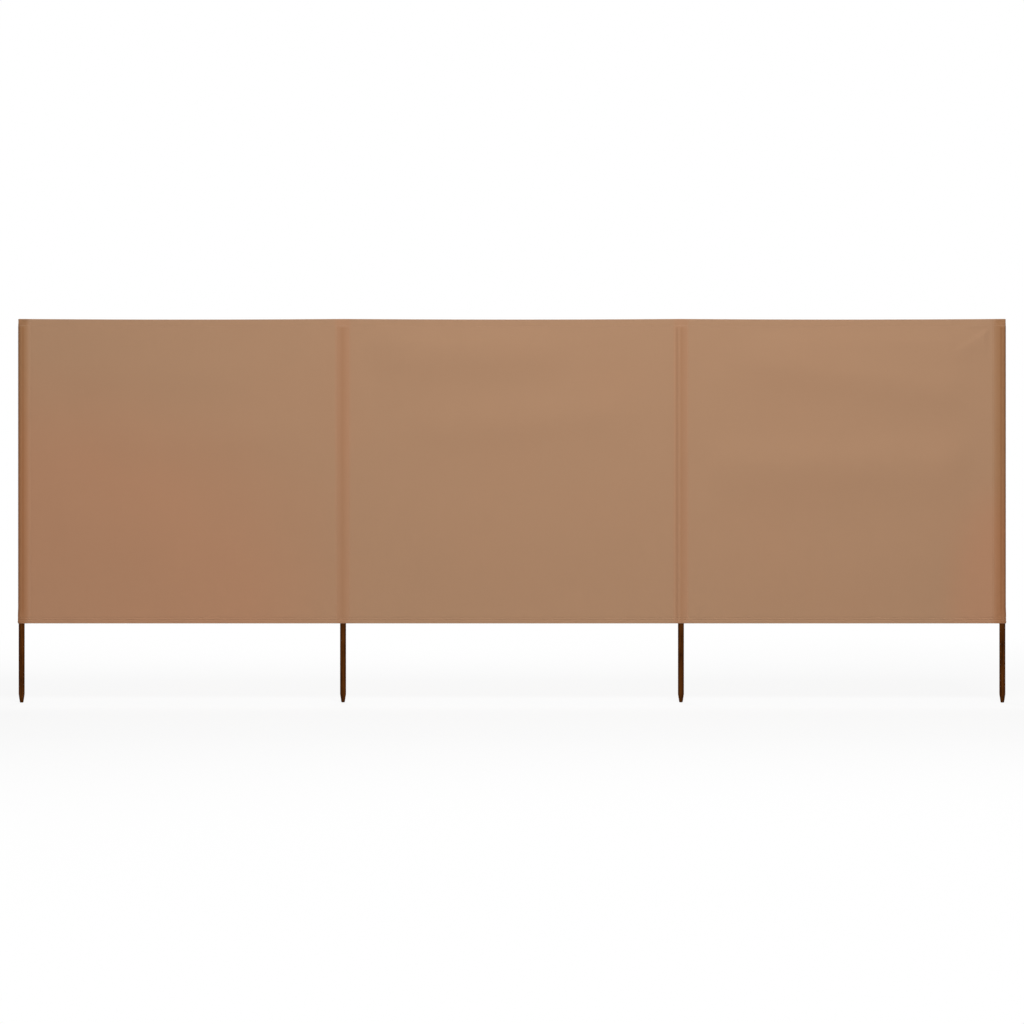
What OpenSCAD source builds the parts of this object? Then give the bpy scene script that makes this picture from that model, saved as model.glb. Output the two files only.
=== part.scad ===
// Beach windbreak: three bays of cloth on four round wooden poles.
// The origin is the flat tip of the left inner pole. +X runs along the cloth to the right,
// +Y points behind it and +Z is up. The cloth passes in front of the inner poles, and the
// end poles stand in the plane of its back face.

/* [Bays] */
// Distance from an end pole's axis to the next pole's axis
end_bay_w = 1285; // [900:1:1700]
// Distance between the axes of the two inner poles
middle_bay_w = 1353; // [900:1:1700]

/* [Poles] */
// Diameter of a pole
pole_d = 24; // [18:0.5:30]
// Length of a pole, from its tip to its top
pole_len = 1500; // [1350:1:1900]
// Length of the turned point at the foot of a pole
point_len = 34; // [20:1:80]
// Diameter of the flat at the very tip
tip_flat_d = 10; // [6:0.5:12]
// Rounding of the tip's edge, cut as a chamfer
tip_chamfer = 2; // [0.5:0.5:2.5]
// Chamfer round the top of a pole
top_chamfer = 1.5; // [0.5:0.5:4]

/* [Cloth] */
// Height of the cloth, from its bottom edge to its top edge
cloth_h = 1218; // [900:1:1300]
// Thickness of one layer of cloth
cloth_t = 1; // [0.6:0.1:2]
// Height of the top hem, which closes the pockets above the poles
top_hem_h = 33; // [15:1:60]
// Height of the bottom hem
bottom_hem_h = 25; // [10:1:60]

/* [Sleeves and pockets] */
// Distance from an end pole's axis to where the two layers of its sleeve meet
sleeve_reach = 31; // [22:1:60]
// Distance from an inner pole's axis to where its pocket leaves the panel
pocket_reach = 22; // [19:1:50]
// Width of the sewn edge of a sleeve or pocket
seam_w = 8; // [5:1:20]
// Play between a pole and the cloth round it
pole_play = 0.3; // [0.1:0.1:1]
// Gap between neighbouring bays where they fold
fold_gap = 0.4; // [0.2:0.1:1]

/* [Hidden] */
$fn = 64;
cut_overrun = 5;
// A tangent ends this share of the way out to its circle, so that the two cross cleanly at any size
tangent_share = 0.999;

cloth_color = [0.66, 0.51, 0.40];
hem_color = [0.62, 0.47, 0.36];
wood_color = [0.27, 0.14, 0.04];

pole_r = pole_d / 2;
tip_flat_r = tip_flat_d / 2;

// Inside and outside radius of the cloth where it bends round a pole
bend_in_r = pole_r + pole_play;
bend_out_r = bend_in_r + cloth_t;

// Faces of the panels: the back face touches the clearance round the inner poles
cloth_back_y = -bend_in_r;
cloth_front_y = cloth_back_y - cloth_t;

// The closed ends of the sleeves and pockets sit on the pole tops, and the cloth hangs from there
pocket_top = pole_len + pole_play;
lid_top = pocket_top + cloth_t;
cloth_top = lid_top + top_hem_h;
cloth_low = cloth_top - cloth_h;

// Where an end sleeve hands over to its panel, and where its sewn edge ends
sleeve_root = sleeve_reach + cloth_t;
sleeve_edge = sleeve_root + seam_w;
left_end_x = -end_bay_w;

// Half width of an inner pocket with its sewn edges
pocket_edge = pocket_reach + seam_w;

// An outer bay stays outside this radius about the inner pole, so that it folds clear
fold_r = norm([pocket_edge, bend_out_r]) + fold_gap;

// Right-hand copy of a left-hand piece
module mirrored() {
    translate([middle_bay_w, 0, 0]) mirror([1, 0, 0]) children();
}

// Round pole with a blunt point at its foot, standing on its tip
module pole() {
    color(wood_color) rotate_extrude() polygon([
        [0, 0],
        [tip_flat_r, 0],
        [tip_flat_r + tip_chamfer, tip_chamfer],
        [pole_r, point_len],
        [pole_r, pole_len - top_chamfer],
        [pole_r - top_chamfer, pole_len],
        [0, pole_len],
    ]);
}

module left_inner_pole() {
    pole();
}

module right_inner_pole() {
    mirrored() pole();
}

module left_end_pole() {
    translate([left_end_x, cloth_back_y, 0]) pole();
}

module right_end_pole() {
    mirrored() left_end_pole();
}

// One flat layer of cloth, between two places along the windbreak and two heights
module layer(from_x, to_x, from_z, to_z, front_y) {
    translate([from_x, front_y, from_z])
        cube([to_x - from_x, cloth_t, to_z - from_z]);
}

// Space that an outer bay leaves free round the inner pole that it folds about
module fold_space() {
    translate([0, 0, cloth_low - cut_overrun])
        cylinder(r = fold_r, h = cloth_h + 2 * cut_overrun);
}

module left_panel() {
    color(cloth_color) difference() {
        layer(left_end_x + sleeve_root, -pocket_edge, cloth_low, cloth_top, cloth_front_y);
        fold_space();
    }
}

module middle_panel() {
    color(cloth_color)
        layer(-pocket_edge, middle_bay_w + pocket_edge, cloth_low, cloth_top, cloth_front_y);
}

module right_panel() {
    mirrored() left_panel();
}

module left_top_hem() {
    color(hem_color) difference() {
        layer(left_end_x + sleeve_edge, -pocket_edge, lid_top, cloth_top, cloth_back_y);
        fold_space();
    }
}

module middle_top_hem() {
    color(hem_color)
        layer(-pocket_edge, middle_bay_w + pocket_edge, lid_top, cloth_top, cloth_back_y);
}

module right_top_hem() {
    mirrored() left_top_hem();
}

module left_bottom_hem() {
    color(hem_color) difference() {
        layer(left_end_x + sleeve_edge, -pocket_edge, cloth_low, cloth_low + bottom_hem_h, cloth_back_y);
        fold_space();
    }
}

module middle_bottom_hem() {
    color(hem_color)
        layer(pocket_edge, middle_bay_w - pocket_edge, cloth_low, cloth_low + bottom_hem_h, cloth_back_y);
}

module right_bottom_hem() {
    mirrored() left_bottom_hem();
}

// Section of cloth drawn from a seam round a pole: a circle and its two tangents from the seam
module drop_section(r, reach) {
    lead = acos(r / reach);
    touch = tangent_share * r * [cos(lead), sin(lead)];
    circle(r);
    polygon([
        [reach, 0],
        touch,
        [touch.x, -touch.y],
    ]);
}

// Outside of an end sleeve's section, up to the line where its panel starts
module sleeve_section() {
    drop_section(bend_out_r, sleeve_reach * bend_out_r / bend_in_r);
    translate([sleeve_reach, -cloth_t]) square([sleeve_root - sleeve_reach, 2 * cloth_t]);
}

// Cloth folded round the end pole and sewn down on the back, closed and flat above the pole
module left_end_sleeve() {
    color(cloth_color) translate([left_end_x, cloth_back_y, cloth_low]) {
        difference() {
            linear_extrude(lid_top - cloth_low) intersection() {
                sleeve_section();
                translate([-bend_out_r, -bend_out_r]) square([bend_out_r + sleeve_root, 2 * bend_out_r]);
            }
            translate([0, 0, -cut_overrun]) linear_extrude(pocket_top - cloth_low + cut_overrun)
                drop_section(bend_in_r, sleeve_reach);
        }
        translate([-bend_out_r, -cloth_t, lid_top - cloth_low])
            cube([bend_out_r + sleeve_root, 2 * cloth_t, top_hem_h]);
        translate([sleeve_root, 0, 0]) cube([seam_w, cloth_t, cloth_h]);
    }
}

module right_end_sleeve() {
    mirrored() left_end_sleeve();
}

// Section of cloth drawn over a pole from the panel's back face, whose slack reaches out to foot_x
module arch_section(r, foot_x, foot_y) {
    seam = [pocket_reach, cloth_back_y];
    lead = atan2(seam.y, seam.x) + acos(bend_in_r / norm(seam));
    touch = tangent_share * r * [cos(lead), sin(lead)];
    intersection() {
        union() {
            circle(r);
            polygon([
                [foot_x, foot_y],
                [foot_x, cloth_back_y],
                touch,
                [-touch.x, touch.y],
                [-foot_x, cloth_back_y],
                [-foot_x, foot_y],
            ]);
        }
        translate([-foot_x, foot_y]) square([2 * foot_x, bend_out_r - foot_y]);
    }
}

// Strip sewn to the back of the panel along both edges, with the inner pole behind the panel in it
module left_inner_pocket() {
    // Angle between the panel and the strip where the strip leaves it
    rise = 2 * asin(bend_in_r / norm([pocket_reach, bend_in_r]));
    color(cloth_color) translate([0, 0, cloth_low]) difference() {
        union() {
            linear_extrude(lid_top - cloth_low)
                arch_section(bend_out_r, pocket_reach + cloth_t / sin(rise), cloth_back_y);
            for (side = [-1, 1])
                translate([side * (pocket_reach + seam_w / 2) - seam_w / 2, cloth_back_y, 0])
                    cube([seam_w, cloth_t, lid_top - cloth_low]);
            // Flat top end of the strip, which lies on the back of the top hem
            translate([-pocket_edge, cloth_back_y + cloth_t, pocket_top - cloth_low])
                cube([2 * pocket_edge, cloth_t, cloth_t + top_hem_h]);
        }
        translate([0, 0, -cut_overrun]) linear_extrude(pocket_top - cloth_low + cut_overrun)
            arch_section(bend_in_r, pocket_reach, cloth_back_y - cut_overrun);
    }
}

module right_inner_pocket() {
    mirrored() left_inner_pocket();
}

left_end_pole();
left_inner_pole();
right_inner_pole();
right_end_pole();
left_panel();
middle_panel();
right_panel();
left_end_sleeve();
right_end_sleeve();
left_inner_pocket();
right_inner_pocket();
left_top_hem();
middle_top_hem();
right_top_hem();
left_bottom_hem();
middle_bottom_hem();
right_bottom_hem();
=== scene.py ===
"""Beach windbreak: three bays of woven cloth on four pointed wooden poles."""

import math
from dataclasses import dataclass

import bpy
import numpy as np
from bpy.props import FloatProperty, FloatVectorProperty, IntProperty, PointerProperty
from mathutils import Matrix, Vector


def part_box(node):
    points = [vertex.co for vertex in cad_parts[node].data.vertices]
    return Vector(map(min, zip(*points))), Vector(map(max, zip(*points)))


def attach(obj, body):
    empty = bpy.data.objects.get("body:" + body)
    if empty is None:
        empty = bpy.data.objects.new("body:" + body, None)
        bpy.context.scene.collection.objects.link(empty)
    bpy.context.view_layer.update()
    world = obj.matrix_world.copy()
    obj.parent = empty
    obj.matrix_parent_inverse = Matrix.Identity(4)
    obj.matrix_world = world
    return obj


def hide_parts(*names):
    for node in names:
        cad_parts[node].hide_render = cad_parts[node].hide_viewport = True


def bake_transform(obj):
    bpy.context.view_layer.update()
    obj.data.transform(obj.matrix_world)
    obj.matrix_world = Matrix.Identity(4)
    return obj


bl_info = {
    "name": "Beach windbreak",
    "version": (1, 0, 0),
    "blender": (4, 5, 0),
    "location": "View3D > Sidebar > Windbreak",
    "description": "Builds a beach windbreak of cloth bays on wooden poles",
    "category": "Add Mesh",
}

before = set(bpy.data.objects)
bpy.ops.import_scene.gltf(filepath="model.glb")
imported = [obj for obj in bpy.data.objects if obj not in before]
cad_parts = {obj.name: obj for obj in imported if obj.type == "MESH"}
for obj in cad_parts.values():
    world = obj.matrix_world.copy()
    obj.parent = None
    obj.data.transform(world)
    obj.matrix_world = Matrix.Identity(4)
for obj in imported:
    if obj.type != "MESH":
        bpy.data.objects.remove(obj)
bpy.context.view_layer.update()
MM = 0.001


def span(node):
    """Lowest and highest corner of a node of the frame."""
    low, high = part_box(node)
    return np.array(low), np.array(high)


def pole_axis(node):
    """Where a pole stands, seen from above."""
    low, high = span(node)
    return (low[:2] + high[:2]) / 2


# Places and sizes taken from the frame, in metres
LEFT_END = pole_axis("left_end_pole")
LEFT_INNER = pole_axis("left_inner_pole")
RIGHT_INNER = pole_axis("right_inner_pole")
RIGHT_END = pole_axis("right_end_pole")
LEFT_X = LEFT_INNER[0]
RIGHT_X = RIGHT_INNER[0]
INNER_X = np.array([LEFT_X, RIGHT_X])
POLE_X = np.array([LEFT_END[0], LEFT_X, RIGHT_X, RIGHT_END[0]])
MIDDLE_X = (LEFT_X + RIGHT_X) / 2
POLE_BOX = span("left_inner_pole")
PANEL_BOX = span("middle_panel")
POLE_R = (POLE_BOX[1][0] - POLE_BOX[0][0]) / 2
POLE_TOP = POLE_BOX[1][2]
PANEL_Y = (PANEL_BOX[0][1] + PANEL_BOX[1][1]) / 2
CLOTH_LOW = PANEL_BOX[0][2]
CLOTH_TOP = PANEL_BOX[1][2]
TOP_HEM_LOW = span("middle_top_hem")[0][2]
BOTTOM_HEM_TOP = span("middle_bottom_hem")[1][2]
SLEEVE_ROOT = span("left_panel")[0][0] - LEFT_END[0]
SLEEVE_EDGE = span("left_end_sleeve")[1][0] - LEFT_END[0]
POCKET_EDGE = span("left_inner_pocket")[1][0] - LEFT_X
SEAM_W = SLEEVE_EDGE - SLEEVE_ROOT
POCKET_REACH = POCKET_EDGE - SEAM_W

# Where the sewn rows lie: distance from the pole's axis, and height
SLEEVE_ROW = SLEEVE_ROOT + SEAM_W / 2
POCKET_ROW = POCKET_REACH + SEAM_W / 2
BOTTOM_ROWS = (CLOTH_LOW + 13.8 * MM, CLOTH_LOW + 21.8 * MM)
TOP_ROW = CLOTH_TOP - 27.0 * MM

# Closely divided stretch of cloth beside a pole, from its axis
POCKET_ZONE = 46 * MM
SLEEVE_ZONE = 46 * MM

# Spacing of the cloth's mesh: along it, up its front and in its hems
FINE_STEP = 2.4 * MM
COARSE_STEP = 10.0 * MM
ROW_STEP = 2.0 * MM
HEM_STEP = 1.35 * MM
TOP_HEM_STEP = 2.5 * MM
STRIP_TOP_STEP = 2.2 * MM

# Growth from one step to the next, and the rounding left to a whole step
STEP_GROWTH = 1.07
STEP_ROUNDING = 1e-6

# Where the steps up the bottom hem start afresh, angles round a folded edge, points on an arc
HEM_BREAK = CLOTH_LOW + 9.0 * MM
HEM_FOLD_ANGLES = np.radians([45.0, 90.0, 135.0])
ARC_POINTS = 90

# Steps across a sewn edge, round the pole, and on to the panel or across the other sewn edge
SLEEVE_COUNTS = (4, 46, 7)
STRIP_COUNTS = (4, 30, 4)

# Samples in a step of a plan, and how many of them its corners are softened over
FINER = 8
SOFT_SAMPLES = 6

# Room between a pole and the middle of the cloth round it, and how much wider its mouth is
SLEEVE_ROOM = 1.65 * MM
SLEEVE_FLARE = 1.2 * MM
STRIP_ROOM = 1.2 * MM
STRIP_FLARE = 0.7 * MM

# A pocket strip's lower edge above the cloth's, its hem, and its upper edge below the cloth's
STRIP_RISE = 1.5 * MM
STRIP_HEM = 15 * MM
STRIP_DROP = 4 * MM

# Heights over which the mouth of a sleeve or pocket ends, its sewn edge goes over on to the top
# hem, and it closes flat
MOUTH_END = (BOTTOM_HEM_TOP, BOTTOM_HEM_TOP + 45 * MM)
SHOULDER = (POLE_TOP - 45 * MM, POLE_TOP - 1 * MM)
CLOSING = (POLE_TOP + 2 * MM, POLE_TOP + 22 * MM)

# Distances from the nearest pole over which folds, creases and hem puckers start
FOLD_START = (SLEEVE_ZONE, 0.20)
CREASE_START = (SLEEVE_ZONE, SLEEVE_ZONE + 34 * MM)
PUCKER_START = (SLEEVE_ZONE, 0.08)

# Distances from the bottom and top edge over which folds start, and the share left at the edge
BOTTOM_START = (0.0, 0.14)
TOP_START = (0.0, 0.10)
EDGE_SHARE = 0.25

# Soft folds in the cloth, from left to right: start x and z, end x and z, width above the crest
# and below it, share of the fold height
SOFT_FOLDS = (
    (-1.24, 1.31, -0.25, 1.335, 0.070, 0.070, 0.30),
    (-1.10, 1.05, -0.06, 1.06, 0.090, 0.090, 0.40),
    (-1.25, 0.66, -0.50, 0.72, 0.120, 0.120, 0.30),
    (0.02, 1.40, 1.00, 1.40, 0.130, 0.090, 0.85),
    (0.20, 1.075, 1.25, 1.185, 0.085, 0.085, 0.65),
    (0.15, 0.66, 1.25, 0.62, 0.150, 0.150, 0.30),
    (1.55, 1.440, 2.66, 1.435, 0.060, 0.140, 0.45),
    (1.48, 1.385, 2.62, 1.220, 0.085, 0.085, 0.75),
    (1.36, 0.950, 2.62, 0.960, 0.085, 0.130, 1.15),
    (1.55, 0.52, 2.56, 0.56, 0.130, 0.130, 0.30),
)

# Small creases pulled in the cloth, given as the folds are, but with their own height
CREASES = (
    (2.400, 1.367, 2.690, 1.549, 14 * MM, 60 * MM, 5.5 * MM),
    (2.480, 1.500, 2.680, 1.522, 14 * MM, 9 * MM, 1.8 * MM),
    (-1.238, 1.500, -1.160, 1.465, 9 * MM, 9 * MM, 1.0 * MM),
    (-0.110, 0.420, -0.052, 0.345, 10 * MM, 10 * MM, 0.9 * MM),
    (0.050, 0.345, 0.120, 0.400, 10 * MM, 10 * MM, 0.9 * MM),
    (1.235, 0.410, 1.300, 0.345, 10 * MM, 10 * MM, 0.9 * MM),
    (1.405, 0.345, 1.460, 0.415, 10 * MM, 10 * MM, 1.0 * MM),
)

# Both ends of a fold or crease fade over this share of its length, or this length if it is less
RIDGE_FADE_SHARE = 0.35
RIDGE_FADE = 0.25

# Slow waves all over the cloth: waves a metre along x and z, phase in turns, share
SLOW_WAVES = (
    (0.9, 1.3, 0.13, 1.00),
    (-1.7, 1.1, 0.52, 0.70),
    (2.6, 0.6, 0.81, 0.45),
    (3.4, -2.3, 0.29, 0.30),
)

# Puckers along the hems and down the sleeves: waves a metre, phase in turns, share
HEM_PUCKERS = ((11.0, 0.10, 0.50), (17.0, 0.45, 0.35), (4.3, 0.77, 0.60))
SLEEVE_PUCKERS = ((8.7, 0.20, 0.50), (13.9, 0.63, 0.40), (3.1, 0.41, 0.60))

# Reach of the hem puckers from the bottom and top edge, and the share of those at the top
BOTTOM_PUCKER = 30 * MM
TOP_PUCKER = 26 * MM
TOP_PUCKER_SHARE = 0.6

# Web between pole and seam, which puckers: the distances over which it starts and ends, and how
# far the puckers of the right sleeve, and of the two sides of a strip, are moved up
SLEEVE_WEB = ((POLE_R + 3 * MM, POLE_R + 9 * MM), (SLEEVE_ROOT - 6 * MM, SLEEVE_ROOT))
STRIP_WEB = ((POLE_R + 3 * MM, POLE_R + 7 * MM), (POCKET_REACH - 3 * MM, POCKET_REACH))
RIGHT_SHIFT = 0.37
STRIP_SHIFT = 0.11

# Cloth drawn over an inner pole: its crest, reach to the left and right, height
POLE_TENTS = (
    (LEFT_X, 25 * MM, 25 * MM, 1.9 * MM),
    (RIGHT_X, 25 * MM, 27 * MM, 1.9 * MM),
    (RIGHT_X - 8.5 * MM, 10 * MM, 6 * MM, 2.6 * MM),
)

# Heights over which that ends, the rounding of the crest and how soft the sides are
POLE_END = (POLE_TOP, POLE_TOP + 14 * MM)
TENT_ROUNDING = 3 * MM
TENT_SOFTNESS = 0.35

# Relief of the hems: height, reach, share of a groove's depth. Sewn rows go in and swells come out
HEM_RELIEF = (
    (TOP_ROW, 2.5 * MM, 0.2),
    (BOTTOM_ROWS[0], 2.8 * MM, 1.0),
    (BOTTOM_ROWS[1], 2.8 * MM, 1.0),
    (CLOTH_LOW + 8.4 * MM, 3.0 * MM, -0.7),
    (CLOTH_LOW + 17.8 * MM, 3.0 * MM, -0.7),
)

# Share of a sewn row's pull that the turned layers take, towards the front
TURNED_PULL = -0.2

# Upright sewn rows: reach of the groove, and the share of its depth in a sleeve and a pocket
GROOVE_REACH = 2.2 * MM
SLEEVE_GROOVE = 0.4
POCKET_GROOVE = 0.3

# Heights over which the sag of the top edge grows
SAG_ZONE = (CLOTH_TOP - 0.45, CLOTH_TOP)

# Painted shade down a sleeve, from its doubled layers and its pole: its pole's place, distances from
# the axis over which the layers' painted shade fades, the share left at the sewn edge, and the share of
# the pole's painted shade
SLEEVE_SHADES = (
    (LEFT_END[0], (14 * MM, 34 * MM), 0.0, 0.80),
    (RIGHT_END[0], (15 * MM, 41 * MM), 0.25, 0.97),
)

# Margin round a sleeve, and distances from the axis over which the pole's painted shade fades
FOLD_MARGIN = 0.5 * MM
ROUND_POLE = (POLE_R + 1 * MM, POLE_R + 4 * MM)

# Painted highlight down the middle of a sleeve's pole, where it turns to the viewer: share of the
# pole's painted shade there, and its sides
CREST_HIGHLIGHT = 0.45
CREST_HIGHLIGHT_SIDE = (1 * MM, 8 * MM)

# Shade of an inner pole behind the cloth: its middle, reach to the left and right, share
POLE_SHADES = (
    (LEFT_X, 26 * MM, 26 * MM, 0.38),
    (RIGHT_X + 1 * MM, 9 * MM, 26 * MM, 0.36),
)

# Heights over which the shade of a pole ends
SHADE_END = (POLE_TOP - 4 * MM, POLE_TOP + 6 * MM)

# Cloth in front of a pocket: share of the painted shade of the doubled layers and of the redder tone,
# and the distances over which each of them fades
POCKET_DOUBLED = 0.08
POCKET_SIDE = (POCKET_EDGE - 10 * MM, POCKET_EDGE + 2 * MM)
POCKET_WARMTH = 0.65
WARM_SIDE = (POCKET_EDGE - 4 * MM, POCKET_EDGE + 4 * MM)

# Slightly redder patches of the cloth: middle x and z, reach along x and z
WARM_PATCHES = (
    (-1.10, 0.38, 1.35, 1.10),
    (2.66, 0.36, 0.32, 0.62),
)

# Shares of that reach over which a patch fades
PATCH_EDGE = (0.45, 1.0)

# Painted shade in the sewn rows of the hems: height, reach, share
HEM_SEAM_SHADES = (
    (TOP_ROW, 1.8 * MM, 0.1),
    (BOTTOM_ROWS[0] + 1.6 * MM, 1.6 * MM, 0.1),
    (BOTTOM_ROWS[1] + 1.6 * MM, 1.6 * MM, 0.1),
)

# Painted shade in upright sewn rows: reach, and the shares of a sleeve, a pocket and its strip
TINT_REACH = 1.8 * MM
SLEEVE_TINT = 0.15
POCKET_TINT = 0.3
STRIP_TINT = 0.6

# Painted shade of an upright crease beside the right inner pole: its place, reach, share of the seam's
# painted shade
POLE_CREASE_X = RIGHT_X - 17 * MM
POLE_CREASE_REACH = 5 * MM
POLE_CREASE_SHADE = 0.75

# Tints of a pocket strip, painted shade of a doubled layer and a redder tone, and the distances over
# which its pole's painted shade shows through
STRIP_DOUBLED = 0.5
STRIP_WARMTH = 0.3
STRIP_POLE = (POLE_R + 2 * MM, POLE_R + 7 * MM)

# Threads of a panel and of a strip: streaks a metre along the cloth, up it and through it
LONG_THREADS = (340.0, 5.0, 1.0)
CROSS_THREADS = (5.0, 340.0, 1.0)

# Roughness of the cloth, the thread and the wood, and how rounded the weave's threads are
CLOTH_ROUGH = 0.88
THREAD_ROUGH = 0.7
WOOD_ROUGH = 0.68
WEAVE_ROUND = 0.7

# Angles past which an edge of a mesh is sharp
CLOTH_SHARP = math.radians(60)
POLE_SHARP = math.radians(35)

# Rings up a pole's point and shaft, the curve of the point, and the middle of a rounded chamfer
POINT_RINGS = 8
SHAFT_RINGS = 45
POINT_CURVE = 0.92
CHAMFER_SHARES = (0.6, 0.4)

# Inner rings on the flat tip and on the top, as shares of the radius there
TIP_RING_SHARE = 0.5
TOP_RING_SHARE = 0.4

# Unevenness of a pole: lobes round it, radians a metre up it, multiple of its phase, share
POLE_WAVES = ((2, 3.1, 1, 1.0), (3, -8.3, 2, 0.7), (0, 21.0, 1, 0.8))

# Phase from one pole to the next, and the share of the radius up to which the ends are true
POLE_PHASE = 1.7
TRUE_SHARE = 0.5

# A stitch: how far its ends sink in and its bend rises, in threads, and its steps and sides
STITCH_SINK = -0.45
STITCH_RISE = 1.15
STITCH_STEPS = 3
THREAD_SIDES = 5

# Sewn rows: clearance from other layers on the back, start of upright rows above the lower edge,
# top of the close rows at a pocket's mouth, and the columns beside a row that they follow
ROW_CLEAR = 3 * MM
UPRIGHT_START = CLOTH_LOW + 2 * MM
MOUTH_TOP = BOTTOM_HEM_TOP + 4 * MM
MOUTH_STEPS = (-1, 1)

# Row of a strip that is sewn, counted from its ends, columns of a sleeve that lie on the panel,
# and weight of a layer's depth against its height when its row is looked up
STRIP_ROW = 2
PANEL_COLUMNS = 8
LAYER_WEIGHT = 10

# Soft lamps: name, setting of the power, place and target from the middle of the floor, size
LAMPS = (
    ("key_lamp", "key_power", (1.0, -6.0, 5.7), (0.3, 0.0, 0.95), 2.6),
    ("fill_lamp", "fill_power", (-2.8, -8.5, 2.2), (0.0, 0.0, 0.9), 3.5),
    ("back_lamp", "back_power", (-0.9, 6.5, 5.2), (0.0, 0.0, 0.9), 3.4),
)

# Strength of the even light from all round, and the background's white
EVEN_LIGHT = 0.11
WHITE = (1.0, 1.0, 1.0)

# Floor: half its width, distances over which it fades to white, and share of white at the object
FLOOR_REACH = 30.0
FLOOR_FADE = (2.5, 7.0)
FLOOR_WHITE = 0.88

# Width of the camera's sensor in millimetres, and how far the camera sees
SENSOR_W = 36.0
VIEW_REACH = 100.0


def length_setting(name, description, default, low, high):
    """Setting for a length in metres."""
    return FloatProperty(
        name=name, description=description, unit="LENGTH", min=low, max=high, default=default
    )


def colour_setting(name, description, default):
    """Setting for a colour."""
    return FloatVectorProperty(
        name=name, description=description, subtype="COLOR", size=3, min=0.0, max=1.0, default=default
    )


def power_setting(name, description, default):
    """Setting for the power of a lamp in watts."""
    return FloatProperty(
        name=name, description=description, unit="POWER", min=0.0, max=5000.0, default=default
    )


class WindbreakCloth(bpy.types.PropertyGroup):
    """Sizes and colours of the cloth."""

    colour: colour_setting("Cloth colour", "Colour of one layer of cloth", (0.387, 0.2213, 0.1261))
    warm_colour: colour_setting(
        "Warm patches", "Colour of the slightly redder patches of the cloth", (0.412, 0.2147, 0.1193)
    )
    # Painted shade where a second layer lies behind the thin cloth
    layer_shade_tint: colour_setting(
        "Doubled tint", "Colour that a second layer behind gives the cloth", (0.83, 0.73, 0.60)
    )
    # Painted shade where a pole lies behind the thin cloth, with a painted highlight down its middle in
    # a sleeve
    pole_shade_tint: colour_setting(
        "Pole tint", "Colour that a pole behind gives the cloth", (0.80, 0.68, 0.53)
    )
    # Painted shade in the sewn rows and in a crease
    seam_shade_tint: colour_setting(
        "Seam tint", "Colour that the shade in a sewn row gives the cloth", (0.86, 0.83, 0.79)
    )
    thickness: length_setting(
        "Thickness", "Thickness of one layer of cloth", 0.7 * MM, 0.2 * MM, 3 * MM
    )
    layer_gap: length_setting(
        "Layer gap", "Distance between the middles of two layers in a hem", 2.2 * MM, 0.5 * MM, 5 * MM
    )
    fold_height: length_setting(
        "Fold height", "Height of a soft fold whose share is 1", 15.0 * MM, 0.0, 20 * MM
    )
    wave_height: length_setting("Wave height", "Height of the slow waves", 0.9 * MM, 0.0, 4 * MM)
    pucker: length_setting(
        "Pucker", "Height of the puckers along the hems and sleeves", 0.5 * MM, 0.0, 2 * MM
    )
    groove: length_setting(
        "Groove", "Depth that a sewn row pulls into the cloth", 1.05 * MM, 0.0, 2 * MM
    )
    top_sag: length_setting(
        "Top sag", "How far the top edge sags between two poles", 2.4 * MM, 0.0, 20 * MM
    )
    slack: length_setting(
        "Slack", "Room between two layers of cloth that lie on each other", 0.85 * MM, 0.0, 2 * MM
    )
    thread_pitch: length_setting(
        "Thread pitch", "Distance between two threads of the weave", 0.8 * MM, 0.3 * MM, 5 * MM
    )


class WindbreakPoles(bpy.types.PropertyGroup):
    """Sizes and colours of the poles."""

    dark_colour: colour_setting(
        "Dark grain", "Colour of the dark grain of the stained wood", (0.018, 0.0040, 0.0003)
    )
    light_colour: colour_setting(
        "Light grain", "Colour of the light grain of the stained wood", (0.124, 0.036, 0.0045)
    )
    point_length: length_setting("Point length", "Length of the turned point", 34 * MM, 10 * MM, 0.1)
    tip_width: length_setting("Tip width", "Diameter of the flat at the tip", 10 * MM, 2 * MM, 20 * MM)
    tip_chamfer: length_setting("Tip chamfer", "Chamfer round the flat tip", 2 * MM, 0.5 * MM, 4 * MM)
    top_chamfer: length_setting(
        "Top chamfer", "Chamfer round the top of a pole", 1.5 * MM, 0.5 * MM, 4 * MM
    )
    unevenness: length_setting(
        "Unevenness", "How far a pole's surface strays from a true cylinder", 0.08 * MM, 0.0, 0.5 * MM
    )
    sides: IntProperty(name="Sides", description="Faces round a pole", min=12, max=96, default=48)


class WindbreakStitching(bpy.types.PropertyGroup):
    """Sizes and colour of the stitches."""

    colour: colour_setting("Thread colour", "Colour of the sewing thread", (0.480, 0.293, 0.181))
    pitch: length_setting("Pitch", "Distance from one stitch to the next", 4.8 * MM, 2 * MM, 20 * MM)
    length: length_setting("Length", "Length of one stitch", 3.8 * MM, 1 * MM, 20 * MM)
    thread: length_setting("Thread", "Thickness of the sewing thread", 0.75 * MM, 0.2 * MM, 3 * MM)


class WindbreakStage(bpy.types.PropertyGroup):
    """Camera, lamps and floor."""

    camera_distance: length_setting(
        "Camera distance", "Distance from the camera to the cloth", 11.378, 2.0, 40.0
    )
    camera_height: length_setting(
        "Camera height", "Height of the camera above the floor", 0.762, 0.1, 5.0
    )
    lens: FloatProperty(
        name="Lens", description="Focal length of the camera in millimetres",
        unit="CAMERA", min=20.0, max=300.0, default=100.0,
    )
    key_power: power_setting("Key power", "Power of the soft key lamp, upper right in front", 440.0)
    fill_power: power_setting("Fill power", "Power of the soft fill lamp, left in front", 90.0)
    back_power: power_setting("Back power", "Power of the soft lamp behind the cloth", 430.0)
    floor_colour: colour_setting("Floor colour", "Colour of the plain floor", (0.78, 0.78, 0.78))


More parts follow.
